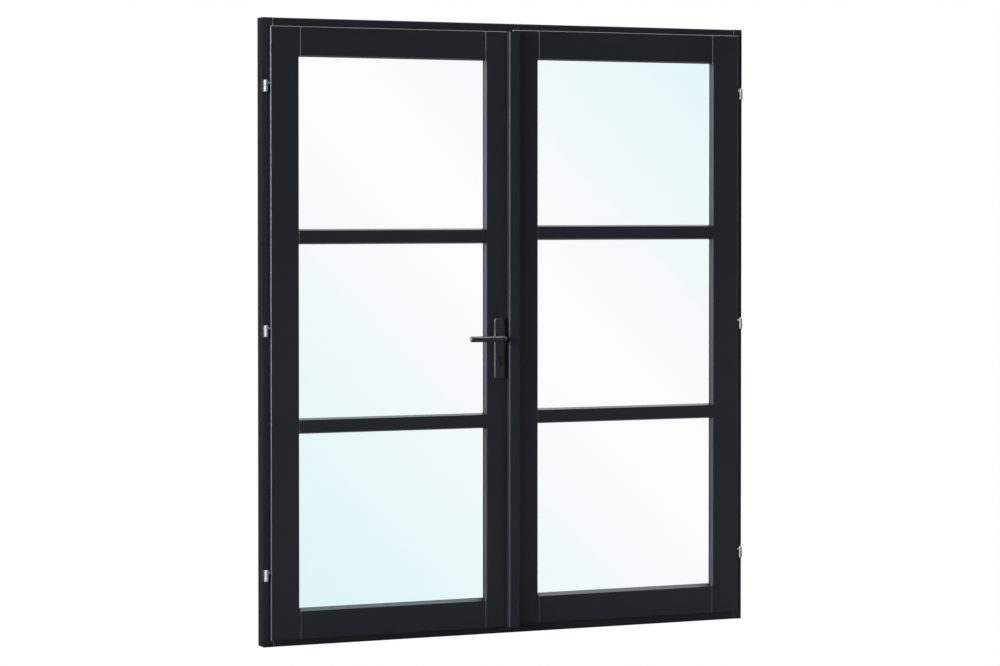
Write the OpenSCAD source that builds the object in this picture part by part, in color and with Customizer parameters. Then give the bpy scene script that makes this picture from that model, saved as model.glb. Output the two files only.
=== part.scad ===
// French doors: a rebated timber frame with two glazed leaves that open outwards.
// Origin: centre of the underside of the sill. The outside faces -Y and +Z is up. Millimetres.

/* [Frame] */
// Overall width of the frame
frame_w = 1800; // [1700:10:2000]
// Overall height of the frame
frame_h = 2100; // [2050:10:2300]
// Depth of the frame from its outside face to its inside face
frame_depth = 56; // [52:1:80]
// Width of a jamb's front face
jamb_face = 34; // [33:1:36]
// Height of the head's and the sill's front face
head_face = 37; // [37:1:40]
// How far the stop stands into the opening beyond the front face
stop_step = 14; // [13:1:16]
// Depth of the rebate that a leaf closes into
rebate_depth = 31; // [30:1:34]

/* [Leaves] */
// Part of a jamb's front face that a closed leaf leaves bare
side_reveal = 22.5; // [22:0.5:23]
// Part of the head's or sill's front face left bare by a leaf hung level
end_reveal = 25.5; // [25:0.5:26]
// How much lower than level the left leaf hangs
left_leaf_drop = 3; // [0:1:3]
// How much higher than level the right leaf hangs
right_leaf_rise = 3; // [0:1:3]
// Thickness of a leaf
leaf_t = 43; // [43:1:45]
// Thickness of the lip that laps over the frame
lip_t = 14; // [13.5:0.5:14.5]
// Gap between the two leaves
meeting_gap = 4; // [3.5:0.5:5]
// Width of a stile on the hinge side
hinge_stile_w = 103.5; // [100:0.5:110]
// Width of a stile on the meeting side
meeting_stile_w = 98.5; // [96:0.5:105]
// Height of the top rail
top_rail_h = 101; // [95:1:120]
// Height of the bottom rail
bottom_rail_h = 103; // [95:1:140]
// Height of a glazing bar
bar_h = 52; // [46:1:60]
// Height of the lower bar's centre above the bottom of a leaf
lower_bar_z = 715.5; // [690:0.5:740]
// Height of the upper bar's centre above the bottom of a leaf
upper_bar_z = 1350; // [1320:0.5:1370]
// How far the bars of the left leaf sit below those of the right leaf, halved
bar_shift = 2.5; // [0:0.5:4]
// Width of the strip that covers the meeting gap
astragal_w = 39; // [36:1:44]
// Thickness of the strip that covers the meeting gap
astragal_t = 22; // [16:1:24]

/* [Glazing] */
// Depth of the glass behind a leaf's outside face
glass_recess = 18; // [16:1:20]
// Thickness of a pane
glass_t = 6; // [4:1:6]
// Depth of the groove that holds the edge of the glass
glazing_rebate = 12; // [10:1:14]
// Width of the slope beside the glass
bevel = 5; // [3:0.5:6]
// Width of the slope below the glass on a bottom rail
bottom_bevel = 9; // [5:1:10]

/* [Hinges] */
// Diameter of a hinge barrel
barrel_d = 13; // [12:0.5:13]
// Height of a hinge barrel
barrel_h = 39; // [36:1:50]
// Height of the lowest hinge
hinge_low_z = 240; // [200:10:300]
// Distance from one hinge to the next
hinge_pitch = 816; // [780:4:820]

/* [Handle and lock] */
// Height of the lever's axis
lever_z = 1019; // [1000:1:1040]
// Distance from the edge of the stile to the lever's axis
backset = 50; // [50:1:52]
// Distance from the lever's axis down to the key's axis
key_drop = 72; // [70:1:92]
// Diameter of the lever's round bar
lever_d = 20; // [18:0.5:20]
// Length of the lever from its axis to its tip
lever_l = 131; // [110:1:140]
// Distance of the grip's axis from the face of the leaf
lever_reach = 63; // [58:1:70]
// Width of a handle plate
plate_w = 37; // [36:1:40]
// Height of a handle plate
plate_h = 206; // [200:1:215]
// Thickness of a handle plate
plate_t = 11; // [10:1:12]

/* [Hidden] */

timber_colour = "#23272b";
glass_colour = "#dff0f5";
zinc_colour = "#c9ccd0";
black_colour = "#1b1d1f";
steel_colour = "#8d9196";
rubber_colour = "#101112";

arris = 1.5;            // small flat along each exposed timber edge
joint_v = 1.5;          // half width of the V where two timbers meet
part_gap = 0.4;         // clearance between a fitting and the pocket cut for it
glass_edge_gap = 2;     // from the edge of a pane to the bottom of its groove
bead_joint = 0.1;       // hairline at the mitre of two beads
bead_recess = 3;        // from the inside face of a leaf to its glazing beads
bead_splay = 8;         // how far a bead's inner face slopes back from the glass line
astragal_back = 19.5;   // how far the cover strip lies over the left leaf
astragal_round = 2.5;
lap_gap = 1;            // between the cover strip and the right leaf
over = 1;               // how far a cut runs past a face
weld = 0.001;           // overlap that joins two solids of one piece
close_fit = 0.1;        // clearance across a turned or pressed fit
free_fit = 0.2;         // clearance across a drilled or milled one
side_overlap = 4;       // how far a stile's lip reaches past the edge of the rebate
end_overlap = 2;        // the same at a rail
$fn = 48;

frame_front = -frame_depth / 2;
lip_gap = 1;
leaf_proud = lip_t + lip_gap;
leaf_front = frame_front - leaf_proud;
leaf_back = leaf_front + leaf_t;
leaf_w = frame_w / 2 - side_reveal - meeting_gap / 2;
leaf_h = frame_h - 2 * end_reveal;
leaf_x = frame_w / 2 - side_reveal;
left_leaf_z = end_reveal - left_leaf_drop;
right_leaf_z = end_reveal + right_leaf_rise;
side_lip = jamb_face - side_reveal + side_overlap;
end_lip = head_face - end_reveal + max(left_leaf_drop, right_leaf_rise) + end_overlap;
stop_face = frame_front + rebate_depth;

hinge_inset = 8.5;      // from a jamb's outer face to a hinge's axis
hinge_proud = 0.5;      // between a barrel and the front of the frame
hinge_x = frame_w / 2 - hinge_inset;
hinge_y = frame_front - barrel_d / 2 - hinge_proud;
hinge_pin_d = 6;
pin_inset = 3;          // from the end of a barrel to the end of its pin
pin_room = 1;           // free depth above a pin
hinge_stem_d = 7;
hinge_stem_l = 40;
knuckle_gap = 0.6;
hinge_plate_t = 3;
hinge_tongue_back = 2;  // from the pin's axis to the tall part of the plate
hinge_plate_h = 38;
hinge_plate_w = 24;
hinge_plate_back = frame_front + hinge_plate_w;
hinge_screw_d = 3.5;
hinge_screw_l = 26;
hinge_screw_pitch = 24;
hinge_screw_y = frame_front + hinge_plate_w / 2;
hinge_screw_head_d = 7.2;
countersink_h = 2;
screw_socket_d = 2;
screw_socket_deep = 1;

seal_inset = 1;         // from the inner edge of the stops
seal_side_w = 8;
seal_end_h = 6;
seal_free = 0.4;        // between the seal and a closed leaf

fixing_d = 8.5;
fixing_head_d = 16;
fixing_head_deep = 9;
fixing_y = frame_front + 15;
fixing_low_z = 150;
fixing_pitch = 600;

lever_x = -meeting_gap / 2 - backset;
key_z = lever_z - key_drop;
plate_z = 984.5;
plate_corner = 2;
neck_d = 18;
spindle_w = 8;
spindle_grip = 12;      // how far the spindle reaches beyond a plate into the lever or knob
handle_screw_low = 889.5;
handle_screw_high = 1075.5;
handle_screw_d = 4;
handle_screw_head_d = 8;
handle_screw_head_h = 2.3;
handle_screw_sunk = 0.6;
knob_d = 36;
knob_reach = 38;
knob_head = 20;
knob_edge = 4;
lock_y = leaf_front + leaf_t / 2;
lock_case_t = 14;
lock_case_h = 168;
lock_case_w = 78;
lock_case_z = 985;
forend_w = 20;
forend_h = 235;
forend_t = 3;
latch_z = lever_z - 16;
latch_h = 24;
latch_t = 11;
latch_out = 11;
latch_l = 40;
bolt_z = key_z + 12;
bolt_h = 30;
bolt_t = 9;
bolt_l = 46;
cylinder_d = 17;
cylinder_foot_w = 10;
cylinder_foot_drop = 24.5;
plug_d = 12;
cam_d = 14.5;
cam_w = 10;
cam_room = 0.3;         // clearance beside the cam, and around the cylinder in a plate
cam_window_drop = 9;    // how far the cylinder is open below the key's axis
keyway_w = 2.2;
keyway_h = 9;
keyway_deep = 8;
faceplate_screw_inset = 14;
strike_screw_inset = 12;
cylinder_proud = 3;
strike_h = 200;
strike_w = 24;
strike_t = 3;
strike_pocket_deep = 24;
lock_screw_d = 4.5;
flush_bolt_d = 10;
flush_bolt_l = 190;
flush_bolt_run = 25;
flush_guide_w = 18;
flush_guide_h = 160;
flush_guide_t = 13;
flush_bolt_x = meeting_gap / 2 + 9;
flush_bolt_y = leaf_back - (leaf_t - lip_t) / 2;
flush_notch_h = 10;
keeper_w = 24;
keeper_room = 1.2;      // clearance of a flush bolt in its keeper
keeper_l = 26;
keeper_t = 2.5;
keeper_hole_deep = 24;

// ---------- timber sections ----------

// Extrudes an outline drawn in Y and Z along X, from x0 to x1.
module along_x(x0, x1) {
    translate([x0, 0, 0])
        rotate([90, 0, 90])
            linear_extrude(x1 - x0)
                children();
}

// A jamb seen from above, its outer face at x = 0 and its outside face at y = 0.
module jamb_section() {
    polygon([
        [0, arris], [arris, 0],
        [jamb_face - joint_v, 0], [jamb_face, joint_v],
        [jamb_face, rebate_depth], [jamb_face + stop_step, rebate_depth],
        [jamb_face + stop_step, frame_depth - arris], [jamb_face + stop_step - arris, frame_depth],
        [arris, frame_depth], [0, frame_depth - arris]
    ]);
}

// The head or the sill seen from its end, in depth and height, its outer face at height 0.
module head_section() {
    polygon([
        [0, arris], [0, head_face - arris], [arris, head_face],
        [rebate_depth, head_face], [rebate_depth, head_face + stop_step],
        [frame_depth - arris, head_face + stop_step], [frame_depth, head_face + stop_step - arris],
        [frame_depth, arris], [frame_depth - arris, 0], [arris, 0]
    ]);
}

// The head or the sill seen from above: it fits between the jambs, with a V at each end.
module head_plan() {
    front = frame_w / 2 - jamb_face;
    back = front - stop_step;
    polygon([
        [-front, joint_v], [-front + joint_v, 0], [front - joint_v, 0], [front, joint_v],
        [front, rebate_depth], [back, rebate_depth], [back, frame_depth],
        [-back, frame_depth], [-back, rebate_depth], [-front, rebate_depth]
    ]);
}

// A stile seen from above, from the leaf's edge at x = 0 to its glass side at x = width.
module stile_section(width, lip) {
    polygon([
        [0, arris], [arris, 0],
        [width - joint_v, 0], [width, joint_v],
        [width, glass_recess], [width - glazing_rebate, glass_recess],
        [width - glazing_rebate, leaf_t - arris], [width - glazing_rebate - arris, leaf_t],
        [lip + arris, leaf_t], [lip, leaf_t - arris],
        [lip, lip_t], [0, lip_t]
    ]);
}

// The outline of a whole leaf seen from its edge, lips at the top and bottom.
module leaf_side() {
    polygon([
        [0, arris], [arris, 0], [lip_t, 0], [lip_t, end_lip], [leaf_t, end_lip],
        [leaf_t, leaf_h - end_lip], [lip_t, leaf_h - end_lip], [lip_t, leaf_h],
        [arris, leaf_h], [0, leaf_h - arris]
    ]);
}

// A rail seen from its end, from the leaf's edge at height 0 to its glass side.
module rail_section(height, slope) {
    polygon([
        [0, arris], [0, height - slope], [glass_recess, height],
        [glass_recess, height - glazing_rebate], [leaf_t - arris, height - glazing_rebate],
        [leaf_t, height - glazing_rebate - arris],
        [leaf_t, end_lip], [lip_t, end_lip], [lip_t, 0], [arris, 0]
    ]);
}

// A glazing bar seen from its end, centred on height 0.
module bar_section() {
    face = bar_h / 2 - bevel;
    web = bar_h / 2 - glazing_rebate;
    polygon([
        [0, -face], [0, face], [glass_recess, bar_h / 2], [glass_recess, web],
        [leaf_t - arris, web], [leaf_t, web - arris],
        [leaf_t, -web + arris], [leaf_t - arris, -web],
        [glass_recess, -web], [glass_recess, -bar_h / 2]
    ]);
}

// A rail seen from above, fitted between the stiles with a V at each end.
module rail_plan() {
    x0 = hinge_stile_w;
    x1 = leaf_w - meeting_stile_w;
    polygon([
        [x0, joint_v], [x0 + joint_v, 0], [x1 - joint_v, 0], [x1, joint_v],
        [x1, glass_recess], [x1 + glazing_rebate, glass_recess], [x1 + glazing_rebate, leaf_t],
        [x0 - glazing_rebate, leaf_t], [x0 - glazing_rebate, glass_recess], [x0, glass_recess]
    ]);
}

// A glazing bar seen from above: scribed to the slopes of the stiles, with a V at each end.
module bar_plan() {
    x0 = hinge_stile_w;
    x1 = leaf_w - meeting_stile_w;
    slope_at_v = bevel * (1 - joint_v / glass_recess);
    polygon([
        [x0 - slope_at_v, joint_v], [x0 - slope_at_v + joint_v, 0],
        [x1 + slope_at_v - joint_v, 0], [x1 + slope_at_v, joint_v],
        [x1, glass_recess], [x1 + glazing_rebate, glass_recess], [x1 + glazing_rebate, leaf_t],
        [x0 - glazing_rebate, leaf_t], [x0 - glazing_rebate, glass_recess], [x0, glass_recess]
    ]);
}

// ---------- placing a leaf ----------

// Puts a leaf drawn from its hinge edge, outside face and bottom into the frame.
module place_leaf(side) {
    if (side == "left")
        translate([-leaf_x, leaf_front, left_leaf_z])
            children();
    else
        translate([leaf_x, leaf_front, right_leaf_z])
            mirror([1, 0, 0])
                children();
}

// Mirrors its children to the right-hand side of the frame.
module to_side(side) {
    if (side == "left")
        children();
    else
        mirror([1, 0, 0])
            children();
}

function bar_z(side, height) = height + (side == "left" ? -bar_shift : bar_shift);
function hinge_z(index) = hinge_low_z + index * hinge_pitch;

// ---------- frame ----------

module jamb(side) {
    color(timber_colour)
        to_side(side)
            difference() {
                translate([-frame_w / 2, frame_front, 0])
                    linear_extrude(frame_h)
                        jamb_section();
                for (index = [0:2])
                    translate([-frame_w / 2, 0, hinge_z(index)]) {
                        hinge_plate_pocket();
                        for (step = [-1, 1])
                            translate([0, hinge_screw_y, step * hinge_screw_pitch / 2])
                                rotate([0, 90, 0])
                                    cylinder(d = hinge_screw_d + close_fit, h = hinge_screw_l + over);
                    }
                for (index = [0:3])
                    translate([-frame_w / 2, fixing_y, fixing_low_z + index * fixing_pitch])
                        rotate([0, 90, 0])
                            fixing_hole();
            }
}

// A wall fixing's hole, from the outer face, with a counterbore on the rebate side.
module fixing_hole() {
    translate([0, 0, -over])
        cylinder(d = fixing_d, h = jamb_face + 2 * over);
    translate([0, 0, jamb_face - fixing_head_deep])
        cylinder(d = fixing_head_d, h = fixing_head_deep + over);
}

// The shallow pocket in a jamb's outer face that takes a hinge plate.
module hinge_plate_pocket() {
    translate([-over, frame_front - over, -hinge_plate_h / 2])
        cube([hinge_plate_t + over, hinge_plate_w + over + free_fit, hinge_plate_h]);
}

module head_timber(at_top) {
    color(timber_colour)
        difference() {
            intersection() {
                translate([0, frame_front, at_top ? frame_h : 0])
                    mirror([0, 0, at_top ? 1 : 0])
                        along_x(-frame_w / 2, frame_w / 2)
                            head_section();
                translate([0, frame_front, 0])
                    linear_extrude(frame_h)
                        head_plan();
            }
            translate([flush_bolt_x, flush_bolt_y,
                       at_top ? frame_h - head_face - over : head_face - keeper_hole_deep])
                cylinder(d = flush_bolt_d + 2 * over, h = keeper_hole_deep + over);
            keeper_pocket(at_top);
        }
}

// Where a flush bolt's keeper is let into the head or the sill.
module keeper_pocket(at_top) {
    z = at_top ? frame_h - head_face : head_face - keeper_t;
    translate([flush_bolt_x - keeper_l / 2, flush_bolt_y - keeper_w / 2, z])
        cube([keeper_l, keeper_w, keeper_t]);
}

module bolt_keepers() {
    color(zinc_colour)
        for (at_top = [true, false])
            difference() {
                keeper_pocket(at_top);
                translate([flush_bolt_x, flush_bolt_y,
                           at_top ? frame_h - head_face - over : head_face - keeper_t - over])
                    cylinder(d = flush_bolt_d + keeper_room, h = keeper_t + 2 * over);
            }
}

// The weather seal: a closed loop on the face of the stops.
module frame_seal() {
    seal_t = stop_face - leaf_back - seal_free;
    inner_x = frame_w / 2 - jamb_face - stop_step + seal_inset;
    outer_x = inner_x + seal_side_w;
    inner_z = head_face + stop_step - seal_inset;
    outer_z = inner_z - seal_end_h;
    color(rubber_colour)
        translate([0, stop_face - seal_t, 0])
            difference() {
                translate([-outer_x, 0, outer_z])
                    cube([2 * outer_x, seal_t, frame_h - 2 * outer_z]);
                translate([-inner_x, -over, inner_z])
                    cube([2 * inner_x, seal_t + 2 * over, frame_h - 2 * inner_z]);
            }
}

// ---------- hinges ----------

// The frame half: lower knuckle, standing tongue and the plate let into the jamb.
module hinge_plate(side, index) {
    lower_h = barrel_h / 2 - knuckle_gap / 2;
    color(zinc_colour)
        to_side(side)
            translate([0, 0, hinge_z(index)])
                difference() {
                    union() {
                        translate([-hinge_x, hinge_y, -barrel_h / 2])
                            cylinder(d = barrel_d, h = lower_h);
                        translate([-frame_w / 2, hinge_y, -barrel_h / 2])
                            cube([barrel_d / 2, frame_front - hinge_y + weld, lower_h]);
                        translate([-frame_w / 2, frame_front, -hinge_plate_h / 2])
                            cube([hinge_plate_t, hinge_plate_w, hinge_plate_h]);
                        translate([-frame_w / 2, hinge_y + hinge_tongue_back, -hinge_plate_h / 2])
                            cube([hinge_plate_t, frame_front - hinge_y, hinge_plate_h]);
                    }
                    translate([-hinge_x, hinge_y, -barrel_h / 2 + pin_inset])
                        cylinder(d = hinge_pin_d, h = barrel_h);
                    translate([-hinge_x, hinge_y, -knuckle_gap / 2])
                        cylinder(d = barrel_d + 1, h = barrel_h / 2 + over);
                    for (step = [-1, 1])
                        translate([-frame_w / 2, hinge_screw_y, step * hinge_screw_pitch / 2])
                            rotate([0, 90, 0])
                                countersink();
                }
}

// A countersunk hole for a hinge screw, from the face at z = 0 into the plate.
module countersink() {
    translate([0, 0, -over])
        cylinder(d = hinge_screw_d + free_fit, h = hinge_plate_t + 2 * over);
    cylinder(d1 = hinge_screw_head_d, d2 = hinge_screw_d + free_fit, h = countersink_h);
}

// The leaf half: upper knuckle and the stem screwed into the edge of the stile.
module hinge_arm(side, index) {
    upper_h = barrel_h / 2 - knuckle_gap / 2;
    color(zinc_colour)
        to_side(side)
            translate([-hinge_x, hinge_y, hinge_z(index)])
                difference() {
                    union() {
                        translate([0, 0, knuckle_gap / 2])
                            cylinder(d = barrel_d, h = upper_h);
                        translate([0, 0, knuckle_gap / 2 + upper_h / 2])
                            rotate([0, 90, 0])
                                cylinder(d = hinge_stem_d, h = hinge_x - leaf_x + hinge_stem_l);
                    }
                    translate([0, 0, -over])
                        cylinder(d = hinge_pin_d + close_fit, h = barrel_h / 2 - pin_inset + pin_room + over);
                }
}

module hinge_pins() {
    color(steel_colour)
        for (side = ["left", "right"], index = [0:2])
            to_side(side)
                translate([-hinge_x, hinge_y, hinge_z(index) - barrel_h / 2 + pin_inset])
                    cylinder(d = hinge_pin_d, h = barrel_h - 2 * pin_inset);
}

module hinge_screws() {
    color(zinc_colour)
        for (side = ["left", "right"], index = [0:2], step = [-1, 1])
            to_side(side)
                translate([-frame_w / 2, hinge_screw_y, hinge_z(index) + step * hinge_screw_pitch / 2])
                    rotate([0, 90, 0])
                        difference() {
                            union() {
                                cylinder(d = hinge_screw_d, h = hinge_screw_l);
                                translate([0, 0, close_fit])
                                    cylinder(d1 = hinge_screw_head_d - free_fit - close_fit,
                                             d2 = hinge_screw_d, h = countersink_h - free_fit);
                            }
                            translate([0, 0, -over])
                                cylinder(d = screw_socket_d, h = screw_socket_deep + over, $fn = 6);
                        }
}

// The hole in a stile's edge for a hinge stem, on the left-hand side of the frame.
module stem_holes() {
    for (index = [0:2])
        translate([-leaf_x - over, hinge_y, hinge_z(index) + knuckle_gap / 2 + (barrel_h - knuckle_gap) / 4])
            rotate([0, 90, 0])
                cylinder(d = hinge_stem_d + close_fit, h = hinge_stem_l + over + free_fit);
}

// ---------- leaf timbers ----------

// Cuts the slope beside the glass along the part of a stile between the rails.
module stile_slope(width) {
    translate([0, 0, bottom_rail_h])
        linear_extrude(leaf_h - bottom_rail_h - top_rail_h)
            polygon([[width - bevel, 0], [width - bevel, -over], [width + over, -over],
                     [width + over, glass_recess], [width, glass_recess]]);
}

module stile_blank(width, lip) {
    difference() {
        intersection() {
            linear_extrude(leaf_h)
                stile_section(width, lip);
            along_x(0, width)
                leaf_side();
        }
        stile_slope(width);
    }
}

module hinge_stile(side) {
    color(timber_colour)
        difference() {
            place_leaf(side)
                stile_blank(hinge_stile_w, side_lip);
            to_side(side)
                stem_holes();
        }
}

module meeting_stile(side) {
    color(timber_colour)
        difference() {
            place_leaf(side)
                translate([leaf_w, 0, 0])
                    mirror([1, 0, 0])
                        stile_blank(meeting_stile_w, 0);
            if (side == "left")
                lock_mortice();
            else
                strike_mortice();
        }
}

module rail(side, at_top) {
    height = at_top ? top_rail_h : bottom_rail_h;
    slope = at_top ? bevel : bottom_bevel;
    color(timber_colour)
        place_leaf(side)
            intersection() {
                translate([0, 0, at_top ? leaf_h : 0])
                    mirror([0, 0, at_top ? 1 : 0])
                        along_x(0, leaf_w)
                            rail_section(height, slope);
                linear_extrude(leaf_h)
                    rail_plan();
            }
}

module bar(side, height) {
    color(timber_colour)
        place_leaf(side)
            translate([0, 0, bar_z(side, height)])
                intersection() {
                    along_x(0, leaf_w)
                        bar_section();
                    translate([0, 0, -bar_h])
                        linear_extrude(2 * bar_h)
                            bar_plan();
                }
}

// The strip screwed to the left leaf: it laps over the right leaf and covers the gap.
module astragal() {
    x0 = -astragal_back;
    x1 = astragal_w - astragal_back;
    r = astragal_round;
    bite = r * (1 - cos(45));
    color(timber_colour)
        translate([0, leaf_front, left_leaf_z])
            linear_extrude(leaf_h)
                polygon([
                    [x0, 0], [x0, r - astragal_t], [x0 + bite, bite - astragal_t],
                    [x0 + r, -astragal_t], [x1 - r, -astragal_t],
                    [x1 - bite, bite - astragal_t], [x1, r - astragal_t],
                    [x1, -lap_gap], [-meeting_gap / 2, -lap_gap], [-meeting_gap / 2, 0]
                ]);
}

// ---------- glazing ----------

// The lowest and highest visible edge of pane 0, 1 or 2, at the depth of the glass.
function pane_low(side, index) =
    index == 0 ? bottom_rail_h
    : bar_z(side, index == 1 ? lower_bar_z : upper_bar_z) + bar_h / 2;
function pane_high(side, index) =
    index == 2 ? leaf_h - top_rail_h
    : bar_z(side, index == 0 ? lower_bar_z : upper_bar_z) - bar_h / 2;

module pane(side, index) {
    edge = glazing_rebate - glass_edge_gap;
    x0 = hinge_stile_w - edge;
    x1 = leaf_w - meeting_stile_w + edge;
    z0 = pane_low(side, index) - edge;
    z1 = pane_high(side, index) + edge;
    color(glass_colour)
        place_leaf(side)
            translate([x0, glass_recess, z0])
                cube([x1 - x0, glass_t, z1 - z0]);
}

// Four mitred beads behind each pane.
module glazing_beads(side) {
    x0 = hinge_stile_w;
    x1 = leaf_w - meeting_stile_w;
    color(timber_colour)
        place_leaf(side)
            translate([0, glass_recess + glass_t, 0])
                for (index = [0:2]) {
                    z0 = pane_low(side, index);
                    z1 = pane_high(side, index);
                    translate([x0, 0, z0])
                        bead(x1 - x0);
                    translate([x0, 0, z1])
                        mirror([0, 0, 1])
                            bead(x1 - x0);
                    translate([x0, 0, z0])
                        mirror([1, 0, -1])
                            bead(z1 - z0);
                    translate([x1, 0, z0])
                        mirror([1, 0, 0])
                            mirror([1, 0, -1])
                                bead(z1 - z0);
                }
}

// A bead along X under the edge of the glass at height 0: its inner face slopes away
// from the glass and its ends are mitred.
module bead(length) {
    bead_w = glazing_rebate;
    bead_t = leaf_t - glass_recess - glass_t - bead_recess;
    intersection() {
        along_x(-bead_w, length + bead_w)
            polygon([[0, -bead_w], [0, 0], [bead_t, -bead_splay], [bead_t, -bead_w]]);
        translate([0, bead_t, 0])
            rotate([90, 0, 0])
                linear_extrude(bead_t)
                    polygon([[bead_joint - bead_w, -bead_w], [length + bead_w - bead_joint, -bead_w],
                             [length - bead_joint, 0], [bead_joint, 0]]);
    }
}

// ---------- lock and handle ----------

// The outline of the lock cylinder: a circle with a foot below it.
module cylinder_outline(grow) {
    circle(d = cylinder_d + 2 * grow);
    translate([-cylinder_foot_w / 2 - grow, -cylinder_foot_drop - grow])
        square([cylinder_foot_w + 2 * grow, cylinder_foot_drop]);
}

// Extrudes an outline drawn in X and Z through the leaf, from depth y0 to y1.
module through_leaf(x, z, y0, y1) {
    translate([x, y1, z])
        rotate([90, 0, 0])
            linear_extrude(y1 - y0)
                children();
}

// Everything cut out of the left meeting stile for the lock and the handle.
module lock_mortice() {
    edge_x = -meeting_gap / 2;
    translate([edge_x - lock_case_w - part_gap, lock_y - lock_case_t / 2 - part_gap,
               lock_case_z - lock_case_h / 2 - part_gap])
        cube([lock_case_w + part_gap + over, lock_case_t + 2 * part_gap, lock_case_h + 2 * part_gap]);
    translate([edge_x - forend_t, lock_y - forend_w / 2 - part_gap,
               lock_case_z - forend_h / 2 - part_gap])
        cube([forend_t + over, forend_w + 2 * part_gap, forend_h + 2 * part_gap]);
    through_leaf(lever_x, lever_z, leaf_front - over, leaf_back + over)
        circle(d = neck_d + 2);
    through_leaf(lever_x, key_z, leaf_front - over, leaf_back + over)
        cylinder_outline(part_gap);
    for (z = [handle_screw_low, handle_screw_high])
        through_leaf(lever_x, z, leaf_front - over, leaf_back + over)
            circle(d = handle_screw_d + 1);
}

module lock_case() {
    edge_x = -meeting_gap / 2 - forend_t;
    color(steel_colour)
        difference() {
            translate([edge_x - lock_case_w + forend_t, lock_y - lock_case_t / 2,
                       lock_case_z - lock_case_h / 2])
                cube([lock_case_w - forend_t, lock_case_t, lock_case_h]);
            lock_hollows(edge_x + over);
        }
}

// The ways for the bolts, the follower hole and the key cylinder through the lock.
module lock_hollows(x1) {
    latch_x0 = -meeting_gap / 2 - latch_l - part_gap;
    bolt_x0 = -meeting_gap / 2 - bolt_l - part_gap;
    translate([latch_x0, lock_y - latch_t / 2 - part_gap, latch_z - part_gap])
        cube([x1 - latch_x0, latch_t + 2 * part_gap, latch_h + 2 * part_gap]);
    translate([bolt_x0, lock_y - bolt_t / 2 - part_gap, bolt_z - part_gap])
        cube([x1 - bolt_x0, bolt_t + 2 * part_gap, bolt_h + 2 * part_gap]);
    through_leaf(lever_x, lever_z, lock_y - lock_case_t, lock_y + lock_case_t)
        circle(d = spindle_w * sqrt(2) + 2 * part_gap + free_fit);
    through_leaf(lever_x, key_z, lock_y - lock_case_t, lock_y + lock_case_t)
        cylinder_outline(part_gap);
}

module lock_faceplate() {
    edge_x = -meeting_gap / 2;
    color(zinc_colour)
        difference() {
            translate([edge_x - forend_t, lock_y - forend_w / 2, lock_case_z - forend_h / 2])
                cube([forend_t, forend_w, forend_h]);
            lock_hollows(edge_x + over);
            for (z = [-1, 1])
                translate([edge_x - forend_t - over, lock_y,
                           lock_case_z + z * (forend_h / 2 - faceplate_screw_inset)])
                    rotate([0, 90, 0])
                        cylinder(d = lock_screw_d, h = forend_t + 2 * over);
        }
}

module lock_cylinder() {
    y0 = leaf_front - plate_t - cylinder_proud;
    y1 = leaf_back + plate_t + cylinder_proud;
    color(zinc_colour)
        difference() {
            through_leaf(lever_x, key_z, y0, y1)
                cylinder_outline(0);
            through_leaf(lever_x, key_z, y0 - over, y1 + over)
                circle(d = plug_d + close_fit);
            through_leaf(lever_x, key_z, lock_y - cam_w / 2 - cam_room, lock_y + cam_w / 2 + cam_room)
                translate([-cylinder_d, -cam_window_drop])
                    square([2 * cylinder_d, cylinder_d + cam_window_drop]);
        }
}

// The plug that the key turns, with the cam at its middle that moves the bolt.
module key_plug() {
    y0 = leaf_front - plate_t - cylinder_proud;
    y1 = leaf_back + plate_t + cylinder_proud;
    color(zinc_colour)
        difference() {
            union() {
                through_leaf(lever_x, key_z, y0, y1)
                    circle(d = plug_d);
                through_leaf(lever_x, key_z, lock_y - cam_w / 2, lock_y + cam_w / 2)
                    circle(d = cam_d);
            }
            for (y = [y0 - over, y1 - keyway_deep])
                translate([lever_x - keyway_w / 2, y, key_z - keyway_h / 2])
                    cube([keyway_w, keyway_deep + over, keyway_h]);
        }
}

// A plate outline with its corners cut at 45 degrees.
module plate_outline(inset) {
    w = plate_w / 2 - inset;
    h = plate_h / 2 - inset;
    c = plate_corner;
    polygon([
        [-w, c - h], [c - w, -h], [w - c, -h], [w, c - h],
        [w, h - c], [w - c, h], [c - w, h], [-w, h - c]
    ]);
}

// A handle plate on the outside (face = -1) or on the inside (face = 1) of the leaf.
module handle_plate(face) {
    edge = 1.2;
    screw_seat = 3;
    color(black_colour)
        translate([0, face == -1 ? leaf_front : leaf_back, 0])
            mirror([0, face == -1 ? 0 : 1, 0])
                difference() {
                    union() {
                        through_leaf(lever_x, plate_z, edge - plate_t, 0)
                            plate_outline(0);
                        through_leaf(lever_x, plate_z, -plate_t, 0)
                            plate_outline(edge);
                    }
                    through_leaf(lever_x, lever_z, -plate_t - over, over)
                        circle(d = neck_d + close_fit);
                    through_leaf(lever_x, key_z, -plate_t - over, over)
                        cylinder_outline(cam_room);
                    for (z = [handle_screw_low, handle_screw_high]) {
                        through_leaf(lever_x, z, -plate_t - over, over)
                            circle(d = handle_screw_d + part_gap);
                        through_leaf(lever_x, z, -plate_t - over, screw_seat - plate_t)
                            circle(d = handle_screw_head_d + part_gap);
                    }
                }
}

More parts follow.
